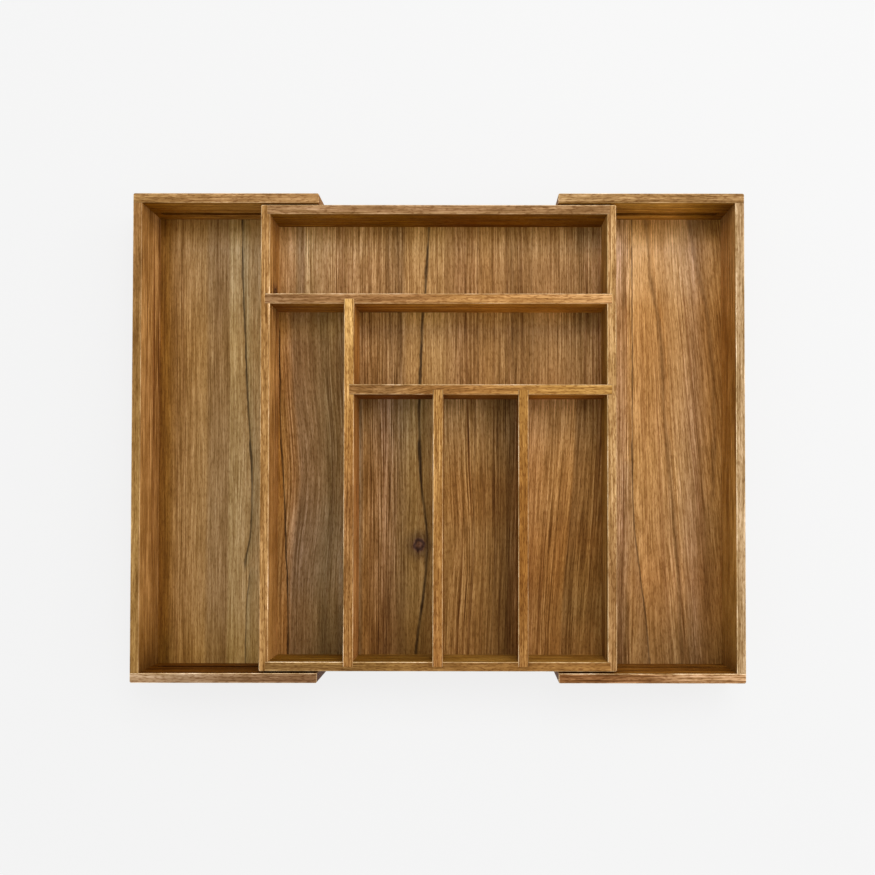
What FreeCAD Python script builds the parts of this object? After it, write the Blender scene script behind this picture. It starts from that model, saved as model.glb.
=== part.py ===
import FreeCAD, Part
import math
import os
import re
import Sketcher

# Expandable wooden utensil organiser, in millimetres.
# Frame: origin at the centre of the underside of the pulled-out organiser,
# +X to the right along the pull-out direction, +Y to the back, +Z up.
# A fixed centre tray with six bays stands between a left and a right tray. The rails of
# the outer trays run outside its front and back walls, and four runners on those walls
# slide in stopped grooves in the rails. Both outer trays are modelled pulled right out.

doc = FreeCAD.newDocument("utensil_organiser")

# --- Driving dimensions -------------------------------------------------------------

driving = {
    # whole organiser
    "tray_depth": 435.0,             # over the rails, front to back
    "tray_height": 60.0,             # underside to top edge
    "travel": 106.0,                 # pull-out of each outer tray
    "arris": 0.8,                    # rounding of the sanded top edges
    "bottom_chamfer": 0.5,           # bottom edges, only broken
    "corner_round": 1.6,             # rounding of the outer upright corners
    # outer trays
    "rail_length": 165.5,
    "rail_thickness": 8.6,
    "side_wall_thickness": 8.0,
    "side_floor_thickness": 3.5,
    "side_floor_lift": 2.0,          # underside of the floor above the drawer
    "side_floor_setback": 1.0,       # free edge of the floor behind the rail ends
    # centre tray
    "centre_width": 316.4,
    "centre_side_thickness": 8.1,
    "centre_end_thickness": 8.3,
    "centre_floor_thickness": 3.5,
    "centre_floor_rise": 6.0,        # underside of the floor above the wall bottoms
    "rabbet_depth": 2.5,             # end walls let into the side walls
    "floor_clearance": 1.5,          # centre walls above the outer trays' floors
    "slide_gap": 1.8,                # rail to centre wall
    # floors in their grooves
    "floor_groove_depth": 3.0,
    "floor_play": 0.3,
    # dividers
    "divider_thickness": 9.0,
    "housing_depth": 4.2,            # divider ends let into what carries them
    "back_bay_depth": 71.0,
    "middle_bay_depth": 72.0,
    "left_bay_width": 66.2,
    "front_bay_width": 70.2,         # first of the three front bays
    "middle_front_bay_width": 66.8,
    # runners and their grooves
    "runner_inset": 9.2,             # outer end from the centre tray's side
    "runner_height": 7.4,
    "runner_reach": 3.5,             # into the rail
    "runner_housing": 3.0,           # into the centre wall
    "runner_easing": 0.6,            # chamfer round the sliding face
    "runner_clearance": 0.3,         # above and below, in the groove
    "groove_end_clearance": 0.5,     # runner face to groove bottom
    "groove_level": 24.0,            # middle of the groove above the drawer
    "groove_land": 6.0,              # solid wood left at the rail's inner end
    "groove_overrun": 3.0,           # groove past the runner when pushed in
    "stop_clearance": 0.3,           # runner end to groove end when pulled out
    # brads
    "brad_length": 18.0,
    "brad_width": 1.2,
    "brad_thickness": 1.0,
    "brad_head_width": 2.0,
    "brad_head_thickness": 0.6,
    "brad_set": 0.3,                 # head below the surface
    "brad_top_inset": 10.0,          # upper brad below the top edge
    "centre_brad_pitch": 18.0,
    "tray_brad_pitch": 36.0,
}

sizes = doc.addObject("Spreadsheet::Sheet", "Sizes")
for row, (alias, value) in enumerate(driving.items(), start=1):
    sizes.set(f"A{row}", alias.replace("_", " "))
    sizes.set(f"B{row}", str(value))
    sizes.setAlias(f"B{row}", alias)

# Levels and lines that follow from the driving dimensions.
derived = {
    "centre_depth": "tray_depth - 2 * (rail_thickness + slide_gap)",
    "centre_base": "side_floor_lift + side_floor_thickness + floor_clearance",
    "centre_height": "tray_height - centre_base",
    "centre_floor_level": "centre_floor_rise + centre_floor_thickness",
    "divider_height": "centre_height - centre_floor_level",
    "inner_width": "centre_width - 2 * centre_side_thickness",
    "inner_depth": "centre_depth - 2 * centre_end_thickness",
    # rails' inner ends, the outer face of the outer tray and the inner face of its wall
    "wall_line": "centre_width / 2 + travel",
    "outer_line": "wall_line + side_wall_thickness",
    "rail_line": "outer_line - rail_length",
    "runner_line": "rail_line + groove_land + stop_clearance",
    "runner_length": "centre_width / 2 - runner_inset - runner_line",
    # lower left corners of the dividers, from the inner left and inner front faces
    "long_cross_line": "inner_depth - back_bay_depth - divider_thickness",
    "short_cross_line": "long_cross_line - middle_bay_depth - divider_thickness",
    "lengthwise_line": "left_bay_width",
    "left_short_line": "lengthwise_line + divider_thickness + front_bay_width",
    "right_short_line": "left_short_line + divider_thickness + middle_front_bay_width",
}


def bound(text):
    """Expression text with every plain name replaced by its cell or its formula."""
    def cell(match):
        name = match.group(0)
        if name in derived:
            return "(" + bound(derived[name]) + ")"
        return "Sizes." + name
    return re.sub(r"[a-z][a-z_]+", cell, text)


def bind(thing, **properties):
    for name, text in properties.items():
        thing.setExpression(name.replace("__", "."), bound(text))


# --- Sketches and features ----------------------------------------------------------

# Size in which each outline is first drawn, before its expressions set it.
first_length, first_radius = 20.0, 4.0


def sketch_on(body, role, name, corner):
    """Empty sketch on one of the body's origin planes, moved by corner (right, up, out)."""
    sketch = body.newObject("Sketcher::SketchObject", name)
    plane = [item for item in body.Origin.OriginFeatures if item.Role == role][0]
    sketch.AttachmentSupport = [(plane, "")]
    sketch.MapMode = "FlatFace"
    for axis, text in zip("xyz", corner):
        bind(sketch, **{"AttachmentOffset__Base__" + axis: text})
    return sketch


def rectangle(sketch, width, height):
    """Rectangle from the sketch's origin to (width, height)."""
    corners = [(0, 0), (1, 0), (1, 1), (0, 1)]
    points = [FreeCAD.Vector(x, y, 0) * first_length for x, y in corners]
    for index in range(4):
        sketch.addGeometry(Part.LineSegment(points[index], points[(index + 1) % 4]), False)
    for index in range(4):
        sketch.addConstraint(Sketcher.Constraint("Coincident", index, 2, (index + 1) % 4, 1))
    for index, direction in enumerate(["Horizontal", "Vertical", "Horizontal", "Vertical"]):
        sketch.addConstraint(Sketcher.Constraint(direction, index))
    sketch.addConstraint(Sketcher.Constraint("Coincident", 0, 1, -1, 1))
    wide = sketch.addConstraint(Sketcher.Constraint("DistanceX", 0, 1, 0, 2, first_length))
    high = sketch.addConstraint(Sketcher.Constraint("DistanceY", 1, 1, 1, 2, first_length))
    sketch.setExpression(f"Constraints[{wide}]", bound(width))
    sketch.setExpression(f"Constraints[{high}]", bound(height))


def round_ended_slot(sketch, length, height):
    """Slot with half-round ends, its left end's centre at the sketch's origin."""
    up = FreeCAD.Vector(0, 0, 1)
    left, right = FreeCAD.Vector(0, 0, 0), FreeCAD.Vector(first_length, 0, 0)
    rise = FreeCAD.Vector(0, first_radius, 0)
    quarter = math.pi / 2
    sketch.addGeometry(Part.LineSegment(left - rise, right - rise), False)
    sketch.addGeometry(Part.LineSegment(right + rise, left + rise), False)
    for centre, start in [(right, -quarter), (left, quarter)]:
        whole = Part.Circle(centre, up, first_radius)
        sketch.addGeometry(Part.ArcOfCircle(whole, start, start + math.pi), False)
    for first, its_end, second, its_start in [(0, 2, 2, 1), (2, 2, 1, 1), (1, 2, 3, 1), (3, 2, 0, 1)]:
        sketch.addConstraint(Sketcher.Constraint("Tangent", first, its_end, second, its_start))
    sketch.addConstraint(Sketcher.Constraint("Coincident", 3, 3, -1, 1))
    sketch.addConstraint(Sketcher.Constraint("PointOnObject", 2, 3, -1))
    sketch.addConstraint(Sketcher.Constraint("Equal", 2, 3))
    bend = sketch.addConstraint(Sketcher.Constraint("Radius", 3, first_radius))
    span = sketch.addConstraint(Sketcher.Constraint("DistanceX", 3, 3, 2, 3, first_length))
    sketch.setExpression(f"Constraints[{bend}]", bound(f"({height}) / 2"))
    sketch.setExpression(f"Constraints[{span}]", bound(f"({length}) - ({height})"))


def board(name, size, corner):
    """Board of size (x, y, z) with its lowest corner at corner, in the organiser's frame."""
    body = doc.addObject("PartDesign::Body", name)
    outline = sketch_on(body, "XY_Plane", name + "_outline", ("0", "0", "0"))
    rectangle(outline, size[0], size[1])
    pad = body.newObject("PartDesign::Pad", name + "_blank")
    pad.Profile = outline
    bind(pad, Length=size[2])
    for axis, text in zip("xyz", corner):
        bind(body, **{"Placement__Base__" + axis: text})
    doc.recompute()
    return body


def cut(body, name, sketch, depth, reverse=False):
    """Pocket that must take wood away."""
    before = body.Shape.Volume
    pocket = body.newObject("PartDesign::Pocket", name)
    pocket.Profile = sketch
    pocket.Reversed = reverse
    bind(pocket, Length=depth)
    doc.recompute()
    if body.Shape.Volume >= before:
        raise RuntimeError(f"{name} cuts nothing out of {body.Label}")


def housing(body, name, corner, size):
    """Square-cornered recess from corner down by size[2], size[0] by size[1] in plan."""
    sketch = sketch_on(body, "XY_Plane", name + "_sketch", corner)
    rectangle(sketch, size[0], size[1])
    cut(body, name, sketch, size[2])


def slot_in_back(body, name, start, level, face, length, height, depth, reverse=False):
    """Round-ended slot in an upright face that looks along Y; face is its local y."""
    corner = (f"{start} + ({height}) / 2", level, f"-({face})")
    sketch = sketch_on(body, "XZ_Plane", name + "_sketch", corner)
    round_ended_slot(sketch, length, height)
    cut(body, name, sketch, depth, reverse)


def dress_edges(body, kind, name, size, wanted):
    """Fillet or Chamfer on every edge of the body's tip that wanted(box, whole) accepts."""
    tip = body.Tip
    whole = tip.Shape.BoundBox
    names = []
    for number, edge in enumerate(tip.Shape.Edges, start=1):
        if wanted(edge.BoundBox, whole):
            names.append(f"Edge{number}")
    feature = body.newObject("PartDesign::" + kind, name)
    feature.Base = (tip, names)
    bind(feature, **{"Radius" if kind == "Fillet" else "Size": size})
    doc.recompute()


def sand_rims(body, name, wanted):
    """Rounded top arrises and lightly broken bottom edges, where wanted accepts the edge."""
    dress_edges(body, "Fillet", name + "_arrises", "arris",
                lambda box, whole: near(box.ZMin, whole.ZMax) and wanted(box, whole))
    dress_edges(body, "Chamfer", name + "_bottom_edges", "bottom_chamfer",
                lambda box, whole: near(box.ZMax, whole.ZMin) and wanted(box, whole))


def near(first, second):
    return abs(first - second) < 0.01


def runs_along(axis, box):
    lengths = {"x": box.XLength, "y": box.YLength, "z": box.ZLength}
    return max(lengths, key=lengths.get) == axis


# --- Outer trays: the right one is built, the left one mirrors it --------------------

def not_butted(box, whole):
    """Edges of a rail away from the end that meets the side wall."""
    return not (near(box.XMin, whole.XMax) and near(box.YMin, whole.YMin))


def make_back_rail(brads):
    blank = board("back_rail_blank", ("rail_length", "rail_thickness", "tray_height"),
                  ("rail_line", "tray_depth / 2 - rail_thickness", "0"))
    dress_edges(blank, "Fillet", "rail_corners", "corner_round",
                lambda box, whole: runs_along("z", box) and near(box.YMin, whole.YMax))
    dress_edges(blank, "Fillet", "rail_end", "arris",
                lambda box, whole: runs_along("z", box) and near(box.YMax, whole.YMin)
                and near(box.XMin, whole.XMin))
    sand_rims(blank, "rail", not_butted)
    housing(blank, "rail_floor_groove", ("0", "0", "side_floor_lift + side_floor_thickness"),
            ("rail_length - side_wall_thickness + floor_groove_depth", "floor_groove_depth",
             "side_floor_thickness"))
    slot_in_back(blank, "runner_groove", "groove_land", "groove_level", "0",
                 "stop_clearance + runner_length + travel + groove_overrun",
                 "runner_height + 2 * runner_clearance", "runner_reach + groove_end_clearance")
    return with_brad_holes("right_back_rail", blank, brads)


def make_side_wall(brads):
    blank = board("side_wall_blank",
                  ("side_wall_thickness", "tray_depth - 2 * rail_thickness", "tray_height"),
                  ("wall_line", "rail_thickness - tray_depth / 2", "0"))
    sand_rims(blank, "side_wall", lambda box, whole: runs_along("y", box))
    housing(blank, "side_wall_floor_groove", ("0", "0", "side_floor_lift + side_floor_thickness"),
            ("floor_groove_depth", "tray_depth - 2 * rail_thickness", "side_floor_thickness"))
    return with_brad_holes("right_side_wall", blank, brads)


def make_side_floor():
    overlap = "(floor_groove_depth - floor_play)"
    return board("right_floor_panel",
                 (f"rail_length - side_wall_thickness - side_floor_setback + {overlap}",
                  f"tray_depth - 2 * rail_thickness + 2 * {overlap}", "side_floor_thickness"),
                 ("rail_line + side_floor_setback",
                  f"rail_thickness - tray_depth / 2 - {overlap}", "side_floor_lift"))


# --- Centre tray ---------------------------------------------------------------------

def make_centre_side_wall(name, side, divider_lines, brads):
    """Left (side -1) or right (side 1) wall, with a housing at each divider line."""
    if side < 0:
        corner_x, outer_face = "-centre_width / 2", "XMin"
        recess = "centre_side_thickness - {depth}"
    else:
        corner_x, outer_face = "inner_width / 2", "XMax"
        recess = "0"
    blank = board(name + "_blank", ("centre_side_thickness", "centre_depth", "centre_height"),
                  (corner_x, "-centre_depth / 2", "centre_base"))

    dress_edges(blank, "Fillet", name + "_corners", "corner_round",
                lambda box, whole: runs_along("z", box)
                and near(box.Center.x, getattr(whole, outer_face)))
    sand_rims(blank, name, lambda box, whole: True)
    for place, line in [("front", "0"), ("back", "centre_depth - centre_end_thickness")]:
        housing(blank, f"{name}_{place}_rabbet",
                (recess.format(depth="rabbet_depth"), line, "centre_height"),
                ("rabbet_depth", "centre_end_thickness", "centre_height"))
    housing(blank, name + "_floor_groove",
            (recess.format(depth="floor_groove_depth"), "centre_end_thickness - floor_groove_depth",
             "centre_floor_level"),
            ("floor_groove_depth", "inner_depth + 2 * floor_groove_depth", "centre_floor_thickness"))
    for divider, line in divider_lines.items():
        housing(blank, f"{name}_housing_{divider}",
                (recess.format(depth="housing_depth"), f"centre_end_thickness + {line}",
                 "centre_height"),
                ("housing_depth", "divider_thickness", "divider_height"))
    return with_brad_holes(name, blank, brads)


def make_centre_end_wall(name, side, divider_lines, brads):
    """Front (side -1) or back (side 1) wall, with a runner recess near each end."""
    if side < 0:
        corner_y, groove_y = "-centre_depth / 2", "centre_end_thickness - floor_groove_depth"
        outer_face = "0"
    else:
        corner_y, groove_y = "inner_depth / 2", "0"
        outer_face = "centre_end_thickness"
    length = "(inner_width + 2 * rabbet_depth)"
    blank = board(name + "_blank", (length, "centre_end_thickness", "centre_height"),
                  (f"-{length} / 2", corner_y, "centre_base"))
    sand_rims(blank, name, lambda box, whole: runs_along("x", box))
    housing(blank, name + "_floor_groove", ("0", groove_y, "centre_floor_level"),
            (length, "floor_groove_depth", "centre_floor_thickness"))
    for divider, line in divider_lines.items():
        housing(blank, f"{name}_housing_{divider}",
                (f"rabbet_depth + {line}", "centre_end_thickness - housing_depth",
                 "centre_height"),
                ("divider_thickness", "housing_depth", "divider_height"))
    starts = {"left": f"{length} / 2 - runner_line - runner_length",
              "right": f"{length} / 2 + runner_line"}
    for end, start in starts.items():
        slot_in_back(blank, f"{name}_{end}_recess", start, "groove_level - centre_base",
                     outer_face, "runner_length", "runner_height", "runner_housing", side > 0)
    return with_brad_holes(name, blank, brads)


def make_centre_floor():
    overlap = "(floor_groove_depth - floor_play)"
    size = (f"inner_width + 2 * {overlap}", f"inner_depth + 2 * {overlap}",
            "centre_floor_thickness")
    corner = (f"-inner_width / 2 - {overlap}", f"-inner_depth / 2 - {overlap}",
              "centre_base + centre_floor_rise")
    return board("centre_floor_panel", size, corner)


def make_divider(name, along, start, line, length, housings, brads):
    """Divider along x or y from start, its near face at line, measured from the inner
    front left corner. housings holds each recess in it as (place, which face)."""
    base = "centre_base + centre_floor_level"
    if along == "x":
        size = (length, "divider_thickness", "divider_height")
        corner = (f"{start} - inner_width / 2", f"{line} - inner_depth / 2", base)
    else:
        size = ("divider_thickness", length, "divider_height")
        corner = (f"{line} - inner_width / 2", f"{start} - inner_depth / 2", base)
    blank = board(name + "_blank", size, corner)
    dress_edges(blank, "Fillet", name + "_arrises", "arris",
                lambda box, whole: runs_along(along, box) and near(box.ZMin, whole.ZMax))
    for number, place in enumerate(housings, start=1):
        if along == "x":
            at = (f"{place} - ({start})", "0", "divider_height")
            recess = ("divider_thickness", "housing_depth", "divider_height")
        else:
            at = ("divider_thickness - housing_depth", f"{place} - ({start})", "divider_height")
            recess = ("housing_depth", "divider_thickness", "divider_height")
        housing(blank, f"{name}_housing_{number}", at, recess)
    return with_brad_holes(name, blank, brads)


def make_runner():
    """Back right runner: a round-ended strip that stands out of the wall into the rail."""
    body = doc.addObject("PartDesign::Body", "right_back_runner")
    outline = sketch_on(body, "XZ_Plane", "runner_outline", ("runner_height / 2", "0", "0"))
    round_ended_slot(outline, "runner_length", "runner_height")
    pad = body.newObject("PartDesign::Pad", "runner_strip")
    pad.Profile = outline
    pad.Reversed = True
    bind(pad, Length="runner_housing + slide_gap + runner_reach")
    bind(body, Placement__Base__x="runner_line",
         Placement__Base__y="centre_depth / 2 - runner_housing",
         Placement__Base__z="groove_level")
    doc.recompute()
    dress_edges(body, "Chamfer", "runner_rim", "runner_easing",
                lambda box, whole: near(box.YMin, whole.YMax))
    return body


# --- Brads ---------------------------------------------------------------------------

def brad(name, direction, corner):
    """Brad of flat wire driven along direction from a surface point, its head just below it."""
    axis, across = direction[1], "y" if direction[1] == "x" else "x"
    point = dict(zip("xyz", corner))
    pieces = []
    for part, length, width in [("shank", "brad_length", "brad_width"),
                                ("head", "brad_head_thickness", "brad_head_width")]:
        start = "brad_set" if direction[0] == "+" else f"-brad_set - {length}"
        size = {axis: length, across: "brad_thickness", "z": width}
        shift = {axis: start, across: "-brad_thickness / 2", "z": f"-{width} / 2"}
        piece = doc.addObject("Part::Box", f"{name}_{part}")
        bind(piece, Length=size["x"], Width=size["y"], Height=size["z"])
        for letter in "xyz":
            bind(piece, **{"Placement__Base__" + letter: f"{point[letter]} + ({shift[letter]})"})
        pieces.append(piece)
    whole = doc.addObject("Part::Fuse", name)
    whole.Base, whole.Tool = pieces
    return whole


def brad_group(label, pitch, rows):
    """Two brads, one above the other, at each (direction, x, y) in rows."""
    brads = []
    for row, (direction, x, y) in enumerate(rows, start=1):
        for step, drop in enumerate(["0", pitch], start=1):
            level = f"tray_height - brad_top_inset - {drop}"
            brads.append(brad(f"{label}_{row}_{step}", direction, (x, y, level)))
    group = doc.addObject("Part::Compound", label)
    group.Links = brads
    doc.recompute()
    return group


def with_brad_holes(label, blank, groups):
    """The blank with the holes that the brads of these groups fill."""
    whole = blank
    for group in groups:
        holed = doc.addObject("Part::Cut", f"{label}_{group.Name}_holes")
        holed.Base, holed.Tool = whole, group
        whole = holed
    whole.Label = label
    doc.recompute()
    return whole


def mirrored(label, source, normal):
    """Mirror image of a piece across a plane through the origin."""
    image = doc.addObject("Part::Mirroring", label)
    image.Source = source
    image.Normal = FreeCAD.Vector(*normal)
    doc.recompute()
    return image


# --- Assembly ------------------------------------------------------------------------

def divider_middle(line, inner):
    return f"{line} + divider_thickness / 2 - {inner} / 2"


side_line = "centre_width / 2"
end_line = "centre_depth / 2"
corner_line = "centre_depth / 2 - centre_end_thickness / 2"
corner_brads = brad_group("centre_corner_brads", "centre_brad_pitch", [
    ("+x", f"-{side_line}", f"-({corner_line})"), ("+x", f"-{side_line}", corner_line),
    ("-x", side_line, f"-({corner_line})"), ("-x", side_line, corner_line)])
divider_brads = brad_group("divider_brads", "centre_brad_pitch", [
    ("+x", f"-{side_line}", divider_middle("long_cross_line", "inner_depth")),
    ("-x", side_line, divider_middle("long_cross_line", "inner_depth")),
    ("-x", side_line, divider_middle("short_cross_line", "inner_depth")),
    ("+y", divider_middle("lengthwise_line", "inner_width"), f"-{end_line}"),
    ("+y", divider_middle("left_short_line", "inner_width"), f"-{end_line}"),
    ("+y", divider_middle("right_short_line", "inner_width"), f"-{end_line}")])
tray_brads = brad_group("right_tray_brads", "tray_brad_pitch", [
    ("-y", "wall_line + side_wall_thickness / 2", "tray_depth / 2"),
    ("+y", "wall_line + side_wall_thickness / 2", "-tray_depth / 2")])

across, deep = (1, 0, 0), (0, 1, 0)
back_rail = make_back_rail([tray_brads])
front_rail = mirrored("right_front_rail", back_rail, deep)
right_tray = [back_rail, front_rail, make_side_wall([tray_brads]), make_side_floor(), tray_brads]
left_tray = []
for piece in right_tray:
    left_tray.append(mirrored(piece.Label.replace("right", "left"), piece, across))

front_dividers = {"lengthwise": "lengthwise_line", "left_short": "left_short_line",
                  "right_short": "right_short_line"}
centre_walls = [
    make_centre_side_wall("centre_left_wall", -1, {"long_cross": "long_cross_line"},
                          [corner_brads, divider_brads]),
    make_centre_side_wall("centre_right_wall", 1, {"long_cross": "long_cross_line",
                                                   "short_cross": "short_cross_line"},
                          [corner_brads, divider_brads]),
    make_centre_end_wall("centre_back_wall", 1, {}, [corner_brads]),
    make_centre_end_wall("centre_front_wall", -1, front_dividers, [corner_brads, divider_brads]),
    make_centre_floor()]

past_lengthwise = "lengthwise_line + divider_thickness - housing_depth"
dividers = [
    make_divider("long_cross_divider", "x", "-housing_depth", "long_cross_line",
                 "inner_width + 2 * housing_depth", ["lengthwise_line"], [divider_brads]),
    make_divider("lengthwise_divider", "y", "-housing_depth", "lengthwise_line",
                 "long_cross_line + 2 * housing_depth", ["short_cross_line"], [divider_brads]),
    make_divider("short_cross_divider", "x", past_lengthwise, "short_cross_line",
                 f"inner_width + housing_depth - ({past_lengthwise})",
                 ["left_short_line", "right_short_line"], [divider_brads])]
for side in ("left", "right"):
    dividers.append(make_divider(f"{side}_short_divider", "y", "-housing_depth", f"{side}_short_line",
                                 "short_cross_line + 2 * housing_depth", [], [divider_brads]))

back_runner = make_runner()
left_back_runner = mirrored("left_back_runner", back_runner, across)
runners = [back_runner, left_back_runner,
           mirrored("right_front_runner", back_runner, deep),
           mirrored("left_front_runner", left_back_runner, deep)]

nodes = right_tray + left_tray + centre_walls + dividers + runners + [corner_brads, divider_brads]

# --- Checks and export -----------------------------------------------------------------

doc.recompute()
for thing in doc.Objects:
    if "Invalid" in thing.State or "Error" in thing.State:
        raise RuntimeError(f"{thing.Label} failed: {thing.State}")
    if thing.TypeId == "Sketcher::SketchObject" and not thing.FullyConstrained:
        raise RuntimeError(f"{thing.Label} isn't fully constrained")
for node in nodes:
    if node.Shape.isNull() or not node.Shape.isValid():
        raise RuntimeError(f"{node.Label} has no valid shape")

os.makedirs("parts", exist_ok=True)
for node in nodes:
    node.Shape.exportStep(os.path.join("parts", node.Label + ".step"))
    print(node.Label, len(node.Shape.Solids), "solid(s)", round(node.Shape.Volume / 1000, 2), "cm3")
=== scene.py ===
import bpy
import math
from mathutils import Matrix, Vector


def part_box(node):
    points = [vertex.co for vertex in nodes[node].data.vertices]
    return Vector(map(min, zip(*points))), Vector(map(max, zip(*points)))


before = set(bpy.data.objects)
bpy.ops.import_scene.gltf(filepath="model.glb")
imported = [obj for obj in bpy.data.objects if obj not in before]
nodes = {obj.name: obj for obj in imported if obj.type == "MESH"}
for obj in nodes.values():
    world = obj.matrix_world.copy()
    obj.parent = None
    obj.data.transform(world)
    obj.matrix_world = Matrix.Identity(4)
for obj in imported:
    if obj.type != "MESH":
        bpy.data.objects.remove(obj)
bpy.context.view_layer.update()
print("frame loaded:", len(nodes), "nodes")


studio = {
    "lens": 41.66,
    "shift": (-0.0408, 0.0458),
    "cameraAt": (0.0322, -0.0541, 0.9568),
    "cameraTurn": (0.0203, 0.0012, 0.0011),
    "nearClip": 0.01,
    "floorSize": 14.0,
    "floorTone": (0.10, 0.10, 0.10, 1.0),
    "floorGlow": 0.80,          # light of its own, so that the floor stays pale and even
    "skyStrength": 0.66,
    "keyAt": (0.30, 0.75, 1.5),
    "keySize": 0.9,
    "keyPower": 15.0,
    "fillAt": (1.6, 0.25, 1.1),
    "fillSize": 1.4,
    "fillPower": 12.0,
}
white = (1.0, 1.0, 1.0, 1.0)


def makeStudio():
    scene = bpy.context.scene
    scene.view_settings.view_transform = "Standard"
    bpy.ops.object.select_all(action="DESELECT")
    bpy.ops.object.camera_add(location=studio["cameraAt"], rotation=studio["cameraTurn"])
    camera = bpy.context.object
    camera.name = "studioCamera"
    camera.data.lens = studio["lens"]
    camera.data.shift_x, camera.data.shift_y = studio["shift"]
    camera.data.clip_start = studio["nearClip"]
    scene.camera = camera

    bpy.ops.mesh.primitive_plane_add(size=studio["floorSize"])
    table = bpy.context.object
    table.name = "studioFloor"
    paint = bpy.data.materials.new("paleFloor")
    paint.use_nodes = True
    shader = paint.node_tree.nodes["Principled BSDF"]
    shader.inputs["Base Color"].default_value = studio["floorTone"]
    shader.inputs["Roughness"].default_value = 1.0
    shader.inputs["Specular IOR Level"].default_value = 0.0
    shader.inputs["Emission Color"].default_value = white
    shader.inputs["Emission Strength"].default_value = studio["floorGlow"]
    table.data.materials.append(paint)

    for name in ("key", "fill"):
        place = Vector(studio[name + "At"])
        bpy.ops.object.light_add(type="AREA", location=place)
        lamp = bpy.context.object
        lamp.name = name + "Softbox"
        lamp.data.size = studio[name + "Size"]
        lamp.data.energy = studio[name + "Power"]
        lamp.rotation_euler = (-place).to_track_quat("-Z", "Y").to_euler()

    world = bpy.data.worlds.new("studioSky")
    world.use_nodes = True
    sky = world.node_tree.nodes["Background"]
    sky.inputs["Color"].default_value = white
    sky.inputs["Strength"].default_value = studio["skyStrength"]
    scene.world = world


makeStudio()
print("studio ready")


def put(tree, kind, feeds=None, **settings):
    # a node with its settings, its values and its links
    node = tree.nodes.new(kind)
    for name, value in settings.items():
        setattr(node, name, value)
    for socket, value in (feeds or {}).items():
        if isinstance(value, bpy.types.NodeSocket):
            tree.links.new(value, node.inputs[socket])
        else:
            node.inputs[socket].default_value = value
    return node


def maths(tree, operation, first, second=0.0, clamp=False):
    node = put(tree, "ShaderNodeMath", {0: first, 1: second}, operation=operation, use_clamp=clamp)
    return node.outputs[0]


def times(tree, first, second):
    return maths(tree, "MULTIPLY", first, second)


def vectorMaths(tree, operation, first, second=None, output=0):
    feeds = {0: first} if second is None else {0: first, 1: second}
    return put(tree, "ShaderNodeVectorMath", feeds, operation=operation).outputs[output]


def split(tree, vector):
    return put(tree, "ShaderNodeSeparateXYZ", {0: vector}).outputs


def joined(tree, x=0.0, y=0.0, z=0.0):
    return put(tree, "ShaderNodeCombineXYZ", {0: x, 1: y, 2: z}).outputs[0]


def remap(tree, value, low, high, toLow=0.0, toHigh=1.0, smooth=False):
    node = put(tree, "ShaderNodeMapRange",
               {"Value": value, "From Min": low, "From Max": high, "To Min": toLow, "To Max": toHigh},
               interpolation_type="SMOOTHSTEP" if smooth else "LINEAR")
    return node.outputs["Result"]


def within(tree, value, middle, rise, fall, smooth=False):
    # comes in over one span and goes out over another, both given as places on the whole object
    rising = remap(tree, value, rise[0] - middle, rise[1] - middle, smooth=smooth)
    falling = remap(tree, value, fall[1] - middle, fall[0] - middle, smooth=smooth)
    return times(tree, rising, falling)


def blendColour(tree, amount, first, second, how="MIX"):
    node = put(tree, "ShaderNodeMix", data_type="RGBA", blend_type=how)
    for socket, value in (("Factor_Float", amount), ("A_Color", first), ("B_Color", second)):
        target = [s for s in node.inputs if s.identifier == socket][0]
        if isinstance(value, bpy.types.NodeSocket):
            tree.links.new(value, target)
        else:
            target.default_value = value
    return [s for s in node.outputs if s.identifier == "Result_Color"][0]


def solid(colour):
    return tuple(colour) + (1.0,)


def tinted(tree, mask, tone, tint):
    return blendColour(tree, mask, tone, blendColour(tree, 1.0, tone, solid(tint), "MULTIPLY"))


def noise(tree, vector, scale, detail=2.0, roughness=0.5):
    node = put(tree, "ShaderNodeTexNoise",
               {"Vector": vector, "Scale": scale, "Detail": detail, "Roughness": roughness})
    return node.outputs["Fac"]


warmth = (0.85, 1.05, 1.5)   # how hard red, green and blue follow a change of brightness


def warmed(tree, lift):
    # a brightness factor as a colour: what it darkens turns redder, what it lifts turns paler
    parts = [maths(tree, "POWER", lift, power) for power in warmth]
    return put(tree, "ShaderNodeCombineColor", dict(enumerate(parts))).outputs[0]


def startGroup(name, inputs, outputs):
    group = bpy.data.node_groups.new(name, "ShaderNodeTree")
    for way, sockets in (("INPUT", inputs), ("OUTPUT", outputs)):
        for socket, kind in sockets.items():
            group.interface.new_socket(socket, in_out=way, socket_type="NodeSocket" + kind)
    return group, group.nodes.new("NodeGroupInput").outputs, group.nodes.new("NodeGroupOutput").inputs


def floats(*names):
    return dict.fromkeys(names, "Float")


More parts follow.
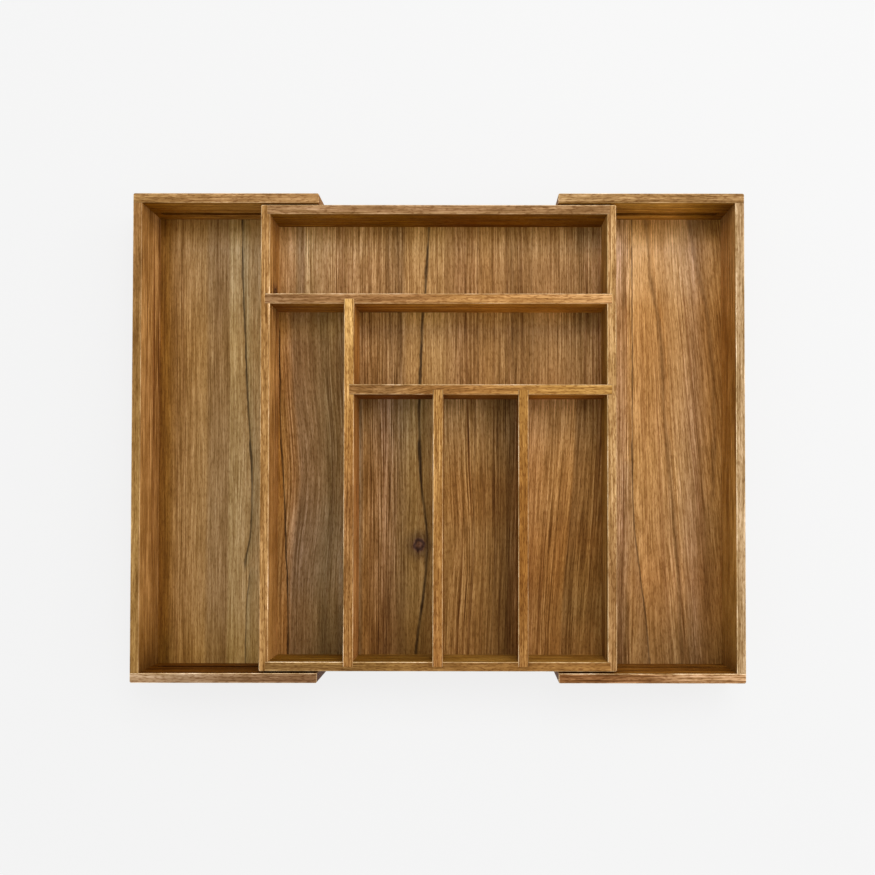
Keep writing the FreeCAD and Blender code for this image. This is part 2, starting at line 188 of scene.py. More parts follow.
plankNoise = {
    # each: stretch along the grain (less is longer), scale, detail, roughness
    "sway": (0.35, 7.0, 1.0, 0.5),
    "ripple": (0.30, 38.0, 1.0, 0.5),
    "calm": (0.10, 38.0, 1.0, 0.5),
    "bands": (0.06, 1.0, 2.0, 0.55),
    "lines": (0.009, 1.0, 2.0, 0.6),
    "hairs": (0.014, 2.8, 2.0, 0.65),
    "fibre": (0.035, 750.0, 2.0, 0.7),
    "clouds": (0.35, 80.0, 4.0, 0.85),
    "pores": (0.17, 1150.0, 1.0, 0.5),
}
plankShape = {
    "seedSteps": (1.37, 2.11, 0.73),          # how far one step of the seed moves into the noises
    "rippleShare": 0.18,
    "skew": 0.12,                             # lets a growth ring change a little on its way round
    # which part of a noise counts, from nothing to full
    "calm": (0.36, 0.64), "bands": (0.30, 0.70), "lines": (0.54, 0.63), "hairs": (0.37, 0.63),
    "fibre": (0.36, 0.64), "clouds": (0.36, 0.64), "pores": (0.52, 0.63),
    "faintest": 0.45, "strongest": 1.25,      # of the growth lines where they fade and where they show
}


def makePlankFigure():
    # grain runs along Y; growth rings go round a heart line that lies beside the plank
    group, given, out = startGroup(
        "plankFigure",
        {"Vector": "Vector", "Heart": "Vector",
         **floats("Seed", "Band Width", "Line Width", "Wander", "Slant")},
        floats("Across", "Bands", "Lines", "Hairs", "Fibre", "Clouds", "Pores"))
    shift = joined(group, *[times(group, given["Seed"], step) for step in plankShape["seedSteps"]])
    parts = split(group, given["Vector"])

    def drawn(name, vector, width=None):
        # a noise drawn out along the grain; given a width, its scale is counted in it
        along, scale, detail, roughness = plankNoise[name]
        if width is not None:
            scale = maths(group, "DIVIDE", scale, width)
        stretched = vectorMaths(group, "MULTIPLY", vector, (1.0, along, 1.0))
        return noise(group, stretched, scale, detail, roughness)

    def centred(name, vector):
        return maths(group, "SUBTRACT", drawn(name, vector), 0.5)

    def counted(name, value, toLow=0.0, toHigh=1.0, smooth=False):
        low, high = plankShape[name]
        return remap(group, value, low, high, toLow, toHigh, smooth)

    # slow sideways wander of the grain, with a smaller one over it
    moved = vectorMaths(group, "ADD", given["Vector"], shift)
    sway = maths(group, "ADD", centred("sway", moved),
                 times(group, centred("ripple", moved), plankShape["rippleShare"]))
    sway = times(group, sway, times(group, given["Wander"], 2.0))
    lean = times(group, parts[1], given["Slant"])
    across = maths(group, "ADD", parts[0], maths(group, "ADD", sway, lean))

    # distance from the heart line
    heart = split(group, given["Heart"])
    ring = vectorMaths(group, "DISTANCE", joined(group, across, 0.0, parts[2]),
                       joined(group, heart[0], 0.0, heart[2]), "Value")
    skewed = times(group, maths(group, "ADD", across, parts[2]), plankShape["skew"])
    ringed = vectorMaths(group, "ADD", joined(group, ring, parts[1], skewed), shift)
    # fibre and pores follow the wander too
    fibred = vectorMaths(group, "ADD", joined(group, across, parts[1], parts[2]), shift)

    # in places the lines grow faint
    calm = counted("calm", drawn("calm", ringed), plankShape["faintest"], plankShape["strongest"])
    bands = drawn("bands", ringed, given["Band Width"])
    lines = counted("lines", drawn("lines", ringed, given["Line Width"]), smooth=True)
    hairs = counted("hairs", drawn("hairs", ringed, given["Line Width"]), -0.5, 0.5)
    results = {"Across": across,
               "Bands": counted("bands", bands, smooth=True),
               "Lines": times(group, lines, calm),
               "Hairs": maths(group, "ADD", 0.5, times(group, calm, hairs)),
               "Fibre": counted("fibre", drawn("fibre", fibred)),
               "Clouds": counted("clouds", drawn("clouds", fibred)),
               "Pores": counted("pores", drawn("pores", fibred), smooth=True)}
    for socket, value in results.items():
        group.links.new(value, out[socket])
    return group


grainFeel = {
    "lineTint": (0.42, 0.28, 0.15, 1.0),
    "rough": 0.44, "fibreRough": 0.14, "poreRough": 0.2,
    "fibreRise": 0.5, "poreDip": 0.8, "lineDip": 0.3,
    "bump": 0.4, "bumpDepth": 0.0003,
    "shine": 0.06,
}


def makeGrainOver():
    # lays growth lines, fibre and pores over a plain wood tone
    group, given, out = startGroup(
        "grainOver",
        {"Tone": "Color",
         **floats("Lines", "Hairs", "Fibre", "Clouds", "Pores", "Line Strength", "Hair Strength",
                  "Fibre Strength", "Cloud Strength", "Pore Strength")},
        {"Color": "Color", **floats("Roughness", "Height")})

    def swing(name, strength):
        # a brightness factor around 1
        part = maths(group, "SUBTRACT", given[name], 0.5)
        return maths(group, "ADD", times(group, part, times(group, given[strength], 2.0)), 1.0)

    def share(name, key):
        return times(group, given[name], grainFeel[key])

    lined = maths(group, "MULTIPLY", given["Lines"], given["Line Strength"], True)
    pitted = maths(group, "MULTIPLY", given["Pores"], given["Pore Strength"], True)
    clear = times(group, maths(group, "SUBTRACT", 1.0, lined), maths(group, "SUBTRACT", 1.0, pitted))
    marked = blendColour(group, 1.0, given["Tone"], grainFeel["lineTint"], "MULTIPLY")
    tone = blendColour(group, clear, marked, given["Tone"])
    lift = times(group, swing("Fibre", "Fibre Strength"), swing("Clouds", "Cloud Strength"))
    lift = times(group, lift, swing("Hairs", "Hair Strength"))
    tone = blendColour(group, 1.0, tone, warmed(group, lift), "MULTIPLY")
    rough = maths(group, "ADD", share("Fibre", "fibreRough"), share("Pores", "poreRough"))
    dips = maths(group, "ADD", share("Pores", "poreDip"), share("Lines", "lineDip"))
    group.links.new(tone, out["Color"])
    group.links.new(maths(group, "ADD", rough, grainFeel["rough"]), out["Roughness"])
    group.links.new(maths(group, "SUBTRACT", share("Fibre", "fibreRise"), dips), out["Height"])
    return group


sandedAt = {
    # how much of a face's direction lies along an axis or a way: where a mark starts, where it is full
    "arris": (0.995, 0.93),
    "litEdgeWay": (-0.8, 0.6, 0.0), "edgeWearAndHighlight": (-0.1, 0.2),     # side on which the edges get a painted highlight
    "top": (0.3, 0.95),
    "outside": (0.6, 0.9),
    "endSpread": 0.15,
}


def makeSanding():
    # where a board was sanded: its rounded arrises and its top edge, and the side of those arrises that
    # gets a painted highlight; and where it was cut across
    group, given, out = startGroup(
        "sanding", {"Grain": "Vector", "End From": "Float", "Outward": "Vector"},
        floats("Arris", "Lit Edge", "Top", "End", "Outside"))
    normal = put(group, "ShaderNodeNewGeometry").outputs["True Normal"]
    ways = vectorMaths(group, "ABSOLUTE", normal)
    parts = split(group, ways)
    most = maths(group, "MAXIMUM", parts[0], maths(group, "MAXIMUM", parts[1], parts[2]))
    arris = remap(group, most, *sandedAt["arris"])
    side = vectorMaths(group, "DOT_PRODUCT", normal, sandedAt["litEdgeWay"], "Value")
    facing = vectorMaths(group, "DOT_PRODUCT", ways, given["Grain"], "Value")
    outer = vectorMaths(group, "DOT_PRODUCT", normal, given["Outward"], "Value")
    results = {"Arris": arris,
               "Lit Edge": times(group, arris, remap(group, side, *sandedAt["edgeWearAndHighlight"])),
               "Top": remap(group, split(group, normal)[2], *sandedAt["top"]),
               "End": remap(group, facing, given["End From"],
                            maths(group, "ADD", given["End From"], sandedAt["endSpread"])),
               "Outside": remap(group, outer, *sandedAt["outside"])}
    for socket, value in results.items():
        group.links.new(value, out[socket])
    return group


def makeBow():
    # pushes the grain sideways around a spot, so that its lines bow or part there
    group, given, out = startGroup(
        "grainBow",
        {"Vector": "Vector", "Spot": "Vector", "Reach": "Vector", **floats("Push", "Spread")},
        {"Vector": "Vector"})
    share = vectorMaths(group, "DIVIDE", vectorMaths(group, "SUBTRACT", given["Vector"], given["Spot"]),
                        given["Reach"])
    plane = vectorMaths(group, "MULTIPLY", share, (1.0, 1.0, 0.0))
    far = vectorMaths(group, "DOT_PRODUCT", plane, plane, "Value")
    close = maths(group, "EXPONENT", times(group, far, -1.0))
    push = maths(group, "ADD", given["Push"], times(group, split(group, share)[0], given["Spread"]))
    move = joined(group, times(group, push, close))
    group.links.new(vectorMaths(group, "SUBTRACT", given["Vector"], move), out["Vector"])
    return group


streakShape = {
    "seedStep": 3.7,
    "wobbleScale": 60.0, "wobble": 0.0016,
    "swellScale": 30.0, "swellFrom": (0.3, 0.7), "swell": (0.5, 1.4),
    "fadeScale": 22.0, "fadeFrom": (0.36, 0.58), "fade": (0.6, 1.0),
    "edge": (1.0, 0.2),
    "margin": 0.005,         # room beside the line within its curve
    "tip": 0.01,             # length over which its two ends run out
    "shadowEnd": 0.004,      # half the length over which the shade beside it does
    "shadowEdge": 0.0005,    # half the width over which that shade starts
}


def makeStreak():
    # one dark mineral line; Path is its place across the panel
    group, given, out = startGroup(
        "darkStreak", {"Vector": "Vector", **floats("Path", "Width", "Seed")}, floats("Mask", "Side"))
    parts = split(group, given["Vector"])
    along = joined(group, given["Seed"], parts[1])
    wobble = maths(group, "SUBTRACT", noise(group, along, streakShape["wobbleScale"]), 0.5)
    wobble = times(group, wobble, streakShape["wobble"])
    aside = maths(group, "ADD", maths(group, "SUBTRACT", parts[0], given["Path"]), wobble)
    swell = remap(group, noise(group, along, streakShape["swellScale"]), *streakShape["swellFrom"],
                  *streakShape["swell"])
    share = maths(group, "DIVIDE", maths(group, "ABSOLUTE", aside), times(group, given["Width"], swell))
    # the line fades and darkens along its way
    faint = remap(group, noise(group, along, streakShape["fadeScale"], 3.0), *streakShape["fadeFrom"],
                  *streakShape["fade"])
    edge = remap(group, share, *streakShape["edge"], smooth=True)
    group.links.new(times(group, faint, edge), out["Mask"])
    group.links.new(aside, out["Side"])
    return group


plankFigure = makePlankFigure()
grainOver = makeGrainOver()
sanding = makeSanding()
grainBow = makeBow()
darkStreak = makeStreak()
print("shared wood effects built")

figureKeys = (("Seed", "seed"), ("Heart", "heart"), ("Band Width", "bandWidth"),
              ("Line Width", "lineWidth"), ("Wander", "wander"))


def startWood(name, values):
    # coordinates centred on the piece, with its grain turned to lie along Y
    low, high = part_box(name)
    turn = math.pi / 2 if values["grain"] == "x" else 0.0
    turning = Matrix.Rotation(turn, 3, "Z")
    away = -(turning @ ((low + high) / 2))
    wood = bpy.data.materials.new(name + "_wood")
    wood.use_nodes = True
    tree = wood.node_tree
    place = put(tree, "ShaderNodeTexCoord").outputs["Object"]
    vector = put(tree, "ShaderNodeMapping",
                 {"Vector": place, "Location": away, "Rotation": (0.0, 0.0, turn)}).outputs[0]
    for x, y, reachX, reachY, push, spread in values.get("bows", []):
        spot = turning @ Vector((x, y, 0.0)) + away
        vector = put(tree, "ShaderNodeGroup",
                     {"Vector": vector, "Spot": spot, "Reach": (reachX, reachY, 1.0), "Push": push,
                      "Spread": spread}, node_tree=grainBow).outputs["Vector"]
    feeds = {socket: values[key] for socket, key in figureKeys}
    if "slantFrom" in values:
        # the grain stands straight on one side and leans on the other
        straight, leaning = [x + away.x for x in values["slantFrom"]]
        feeds["Slant"] = remap(tree, split(tree, vector)[0], straight, leaning, 0.0, values["slant"],
                               smooth=True)
    figure = put(tree, "ShaderNodeGroup", dict(feeds, Vector=vector), node_tree=plankFigure)
    return wood, tree, place, figure.outputs, vector


def finishWood(name, wood, tree, tone, figure, values, strengths):
    # strengths: those that change over the piece, socket by socket
    feeds = {socket: figure[socket] for socket in ("Lines", "Hairs", "Fibre", "Clouds", "Pores")}
    feeds.update({"Tone": tone, "Fibre Strength": values["fibreStrength"],
                  "Cloud Strength": values["cloudStrength"], "Pore Strength": values["poreStrength"]})
    feeds.update(strengths)
    over = put(tree, "ShaderNodeGroup", feeds, node_tree=grainOver).outputs
    bump = put(tree, "ShaderNodeBump", {"Height": over["Height"], "Strength": grainFeel["bump"],
                                        "Distance": grainFeel["bumpDepth"]})
    shader = tree.nodes["Principled BSDF"]
    tree.links.new(over["Color"], shader.inputs["Base Color"])
    tree.links.new(over["Roughness"], shader.inputs["Roughness"])
    tree.links.new(bump.outputs[0], shader.inputs["Normal"])
    shader.inputs["Specular IOR Level"].default_value = grainFeel["shine"]
    nodes[name].material_slots[0].material = wood


def shades(tree, amount, tone, swing):
    # a deeper and a paler cast of one tone
    lift = remap(tree, amount, 0.0, 1.0, 1.0 - swing, 1.0 + swing)
    return blendColour(tree, 1.0, solid(tone), warmed(tree, lift), "MULTIPLY")


knotShape = {
    # edges in radii of the knot, from outside to inside
    "edge": (1.05, 0.7), "haloEdge": (2.6, 0.8), "halo": 0.8,
    "rings": 8.0,
    "wobbleNoise": (1.3, 3.0, 0.6), "wobble": 0.9,
}


def knotted(tree, place, tone, knot):
    # a knot: dark rings with a halo round them
    spot = put(tree, "ShaderNodeMapping", {"Vector": place, "Location": -Vector(knot["at"])}).outputs[0]
    squash = vectorMaths(tree, "MULTIPLY", spot, [1.0 / size for size in knot["radius"]])
    wobble = maths(tree, "SUBTRACT", noise(tree, squash, *knotShape["wobbleNoise"]), 0.5)
    away = maths(tree, "ADD", vectorMaths(tree, "LENGTH", squash, output="Value"),
                 times(tree, wobble, knotShape["wobble"]))
    rings = maths(tree, "SINE", times(tree, away, knotShape["rings"]))
    rings = remap(tree, rings, -1.0, 1.0)
    ringTone = blendColour(tree, rings, solid(knot["heart"]), solid(knot["rings"]))
    halo = times(tree, remap(tree, away, *knotShape["haloEdge"], smooth=True), knotShape["halo"])
    tone = blendColour(tree, halo, tone, solid(knot["halo"]))
    return blendColour(tree, remap(tree, away, *knotShape["edge"], smooth=True), tone, ringTone)


def crossRamp(tree, value, low, high, stops):
    # tones by place: value runs from low to high, each stop is (place, tone)
    ramp = put(tree, "ShaderNodeValToRGB", {0: remap(tree, value, low, high)})
    elements = ramp.color_ramp.elements
    elements.remove(elements[1])
    for number, (place, tone) in enumerate(stops):
        at = (place - low) / (high - low)
        stop = elements[0] if number == 0 else elements.new(at)
        stop.position = at
        stop.color = solid(tone)
    return ramp.outputs["Color"]


boardFinish = {
    "endFrom": 0.8, "endFromLetIn": 0.2,      # how much a face looks along the grain to count as cut
    "upperFrom": (0.045, 0.055),              # heights between which the sanded upper edge starts
    "arris": 0.55, "worn": 1.0,               # shares of the board's edge wear and painted highlight
    "faceLines": 1.4, "facePores": 0.5,       # broad faces against the upper edge
}


def oilBoard(name, values):
    # solid board: oiled faces with painted light and shade, paler sanded edges with a painted highlight,
    # darker cut ends
    wood, tree, place, figure, vector = startWood(name, values)
    face, edge, outside = [shades(tree, figure["Bands"], values[key], values["swing"])
                           for key in ("face", "top", "outside")]
    sanded = put(tree, "ShaderNodeGroup",
                 {"Grain": (1.0, 0.0, 0.0) if values["grain"] == "x" else (0.0, 1.0, 0.0),
                  "End From": boardFinish["endFromLetIn" if values["letIn"] else "endFrom"],
                  "Outward": values["outward"]}, node_tree=sanding).outputs
    face = blendColour(tree, sanded["Outside"], face, outside)
    # only the upper edge takes the top tone and the pale edges; up-facing surfaces lower down, in the
    # grooves, get painted shade
    upper = remap(tree, split(tree, place)[2], *boardFinish["upperFrom"])
    lower = maths(tree, "SUBTRACT", 1.0, upper)
    arris, worn, top = [times(tree, sanded[part], upper) for part in ("Arris", "Lit Edge", "Top")]
    tone = blendColour(tree, top, face, edge)
    tone = tinted(tree, times(tree, sanded["Top"], lower), tone, values["groove"])
    # tops get darker and lighter along the board; along the broad faces this is painted light and shade
    along = split(tree, vector)[1]
    axis = "xy".index(values["grain"])
    low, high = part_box(name)
    middle, half = (low[axis] + high[axis]) / 2, (high[axis] - low[axis]) / 2
    inner = maths(tree, "SUBTRACT", 1.0, maths(tree, "MAXIMUM", top, sanded["Outside"]))
    for key, mask in (("alongTop", top), ("alongFace", inner)):
        if key in values:
            stops = [(spot - middle, tint) for spot, tint in values[key]]
            changed = blendColour(tree, 1.0, tone, crossRamp(tree, along, -half, half, stops), "MULTIPLY")
            tone = blendColour(tree, mask, tone, changed)
    for knot in values.get("knots", []):
        tone = knotted(tree, place, tone, knot)
    # paler rounded edges: partly sanding wear, partly a painted highlight that is stronger on the left
    # and back
    for edgeWearAndHighlight, key in ((arris, "arris"), (worn, "worn")):
        mask = times(tree, edgeWearAndHighlight, values["wearAndHighlight"] * boardFinish[key])
        tone = blendColour(tree, mask, tone, solid(values["arris"]))
    tone = tinted(tree, sanded["End"], tone, values["end"])
    # the broad faces show more of their growth lines and less of their pores than the tops
    strengths = {}
    for socket, key, share in (("Hair Strength", "hairStrength", "faceLines"),
                               ("Line Strength", "lineStrength", "faceLines"),
                               ("Pore Strength", "poreStrength", "facePores")):
        strengths[socket] = remap(tree, top, 0.0, 1.0, values[key] * boardFinish[share], values[key])
    finishWood(name, wood, tree, tone, figure, values, strengths)


def routeAcross(tree, along, centre, half, path):
    # the place of a line across the panel, read from its points
    curve = put(tree, "ShaderNodeFloatCurve", {"Value": remap(tree, along, -half.y, half.y)})
    places = [x for x, y in path]
    left, right = min(places) - streakShape["margin"], max(places) + streakShape["margin"]
    route = [((y - centre.y + half.y) / (2 * half.y), (x - left) / (right - left)) for x, y in path]
    points = curve.mapping.curves[0].points
    points[0].location, points[1].location = route[0], route[-1]
    for point in route[1:-1]:
        points.new(*point)
    curve.mapping.update()
    return remap(tree, curve.outputs[0], 0.0, 1.0, left - centre.x, right - centre.x)


bayEdge = (0.0005, 0.001)   # half the width over which tones change between bays: across, along


def veneerFloor(name, values):
    # veneered panel: tones from side to side and along, soft stretches, dark lines and knots; the tints
    # along it and most stretches are painted light and shade
    wood, tree, place, figure = startWood(name, values)[:4]
    low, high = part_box(name)
    centre, half = (low + high) / 2, (high - low) / 2
    still = put(tree, "ShaderNodeMapping", {"Vector": place, "Location": -centre}).outputs[0]
    aside, along = split(tree, still)[:2]
    across = aside if "slantFrom" in values else figure["Across"]

    def sideways(key):
        stops = [(x - centre.x, shade if isinstance(shade, tuple) else (shade,) * 3)
                 for x, shade in values[key]]
        return crossRamp(tree, across, low.x - centre.x, high.x - centre.x, stops)

    tone = sideways("zones")
    shown = sideways("shown")
    if "rearZones" in values:
        # the bays at the back have tones of their own; the left one starts further back
        rear, side, back = [values[key] for key in ("rearFrom", "leftBayTo", "backBayFrom")]
        rear, side, back = rear - centre.y, side - centre.x, back - centre.y
        behind = remap(tree, along, rear - bayEdge[1], rear + bayEdge[1], smooth=True)
        left = times(tree, remap(tree, across, side + bayEdge[0], side - bayEdge[0], smooth=True),
                     remap(tree, along, back + bayEdge[1], back - bayEdge[1], smooth=True))
        behind = times(tree, behind, maths(tree, "SUBTRACT", 1.0, left))
        tone = blendColour(tree, behind, tone, sideways("rearZones"))
        shown = blendColour(tree, behind, shown, sideways("rearShown"))
    # painted light and shade from front to back
    lengthwise = crossRamp(tree, along, -half.y, half.y, values["lengthwise"])
    tone = blendColour(tree, 1.0, tone, lengthwise, "MULTIPLY")
    bands = remap(tree, figure["Bands"], 0.0, 1.0, 1.0 - values["bandSwing"], 1.0 + values["bandSwing"])
    tone = blendColour(tree, 1.0, tone, warmed(tree, bands), "MULTIPLY")
    # stretches of painted light and shade, and of tone
    for left, right, soft, rise, fall, tint in values["stretches"]:
        leftEdge, rightEdge = [(x - soft / 2, x + soft / 2) for x in (left, right)]
        mask = times(tree, within(tree, across, centre.x, leftEdge, rightEdge, smooth=True),
                     within(tree, along, centre.y, rise, fall, smooth=True))
        tone = tinted(tree, mask, tone, tint)

    for number, line in enumerate(values["streaks"]):
        streak = put(tree, "ShaderNodeGroup",
                     {"Vector": still, "Path": routeAcross(tree, along, centre, half, line["path"]),
                      "Width": line["width"], "Seed": number * streakShape["seedStep"]},
                     node_tree=darkStreak).outputs
        for shadow in line["shadows"]:
            fade = remap(tree, streak["Side"], 0.0, shadow["wide"], 1.0, 0.0, smooth=True)
            edge = remap(tree, streak["Side"], -streakShape["shadowEdge"], streakShape["shadowEdge"])
            if shadow["wide"] < 0.0:
                edge = maths(tree, "SUBTRACT", 1.0, edge)
            rise, fall = [(y - streakShape["shadowEnd"], y + streakShape["shadowEnd"])
                          for y in shadow["y"]]
            fade = times(tree, times(tree, fade, edge), within(tree, along, centre.y, rise, fall))
            tone = tinted(tree, fade, tone, shadow["tint"])
        (front, back), tip = line["reach"], streakShape["tip"]
        reached = within(tree, along, centre.y, (front, front + tip), (back - tip, back))
        mask = times(tree, times(tree, streak["Mask"], reached), line["strength"])
        tone = blendColour(tree, mask, tone, solid(line["colour"]))
    for knot in values.get("knots", []):
        tone = knotted(tree, place, tone, knot)
    strengths = {"Hair Strength": times(tree, shown, values["hairStrength"]),
                 "Line Strength": times(tree, shown, values["lineStrength"])}
    finishWood(name, wood, tree, tone, figure, values, strengths)


veneered = {"grain": "y", "heart": (-0.9, 0.0, 0.0), "cloudStrength": 0.15}

# zones: tones from side to side; shown: how strongly the growth lines show there
# lengthwise: tints from front to back, painted light and shade: darker towards the front, lighter next to
# the back walls; bows: x, y, reach across, reach along, push, spread
# stretches: left side, right side, softness, where it comes in, where it goes out, tint; most paint light
# just in front of dividers and walls, others paint shade into corners and towards the front, the rest
# change the tone
leftFloor = dict(
    veneered, seed=4.2, wander=0.003, bandWidth=0.014, lineWidth=0.0036, bandSwing=0.1, lineStrength=0.35,
    hairStrength=0.3, fibreStrength=0.26, poreStrength=0.35,
    zones=[(-0.266, (0.19, 0.071, 0.009)), (-0.256, (0.23, 0.1, 0.015)), (-0.246, (0.34, 0.18, 0.056)),
           (-0.221, (0.37, 0.21, 0.072)), (-0.217, (0.31, 0.18, 0.069)), (-0.2, (0.31, 0.18, 0.069)),
           (-0.197, (0.44, 0.29, 0.12)), (-0.187, (0.45, 0.29, 0.12)), (-0.178, (0.48, 0.3, 0.12)),
           (-0.12, (0.39, 0.23, 0.08))],
    shown=[(-0.26, 1.1), (-0.225, 0.8), (-0.2, 1.0), (-0.19, 0.6), (-0.16, 0.5)],
    lengthwise=[(-0.2, (0.94, 0.87, 0.64)), (-0.165, (0.94, 0.91, 0.83)), (-0.145, (0.98, 0.97, 0.96)),
                (-0.07, (1.0, 1.02, 1.06)), (0.01, (0.95, 0.95, 0.94)), (0.09, (0.99, 0.96, 0.87)),
                (0.15, (0.98, 1.0, 1.07)), (0.18, (1.13, 1.2, 1.38)), (0.203, (1.07, 1.02, 0.75))],
    stretches=[(-0.178, -0.158, 0.01, (-0.31, -0.3), (-0.15, -0.11), (1.24, 1.3, 1.38)),
               (-0.28, -0.25, 0.012, (-0.31, -0.3), (-0.195, -0.165), (0.72, 0.74, 0.76))],
    streaks=[{"path": [(-0.184, -0.212), (-0.1835, -0.125), (-0.182, -0.11), (-0.1776, -0.08),
                       (-0.177, -0.037), (-0.179, 0.003), (-0.182, 0.052), (-0.1843, 0.109),
                       (-0.1864, 0.15), (-0.187, 0.212)],
              "reach": (-0.125, 0.3), "width": 0.0015, "strength": 0.85, "colour": (0.035, 0.022, 0.01),
              "shadows": [{"wide": 0.01, "y": (-0.12, 0.3), "tint": (0.84, 0.9, 0.95)}]},
             {"path": [(-0.1825, -0.212), (-0.181, -0.15), (-0.179, -0.131), (-0.178, -0.1),
                       (-0.178, 0.212)],
              "reach": (-0.3, -0.118), "width": 0.0011, "strength": 0.6, "colour": (0.05, 0.03, 0.015),
              "shadows": [{"wide": 0.01, "y": (-0.3, -0.12), "tint": (0.84, 0.9, 0.95)}]}])
veneerFloor("left_floor_panel", leftFloor)

# thin brown growth lines that stand out from the rest, seen from above: x and y of each
rearLine = {"reach": (0.0423, 0.3), "width": 0.0016, "strength": 0.36, "colour": (0.11, 0.045, 0.012),
            "shadows": []}
frontLine = dict(rearLine, reach=(-0.3, 0.0423))
rearLines = [dict(rearLine, path=path) for path in (
    [(0.0345, 0.045), (0.0355, 0.106), (0.0345, 0.152), (0.035, 0.165), (0.036, 0.202)],
    [(0.067, 0.045), (0.0675, 0.106), (0.067, 0.16), (0.0645, 0.202)],
    [(0.0854, 0.045), (0.0866, 0.106), (0.0851, 0.152), (0.0868, 0.202)],
    [(-0.0446, 0.045), (-0.0455, 0.1), (-0.0481, 0.17), (-0.0466, 0.202)],
    [(-0.0362, 0.045), (-0.0368, 0.1), (-0.0387, 0.152), (-0.0403, 0.202)])]
frontLines = [dict(frontLine, path=path) for path in (
    [(-0.052, -0.202), (-0.0455, -0.139), (-0.0413, -0.065), (-0.0383, -0.028), (-0.037, 0.04)],
    [(0.0262, -0.202), (0.0296, -0.139), (0.0318, -0.102), (0.0319, -0.065), (0.0333, 0.04)],
    [(0.0465, -0.202), (0.0505, -0.139), (0.053, -0.065), (0.0543, 0.04)])]

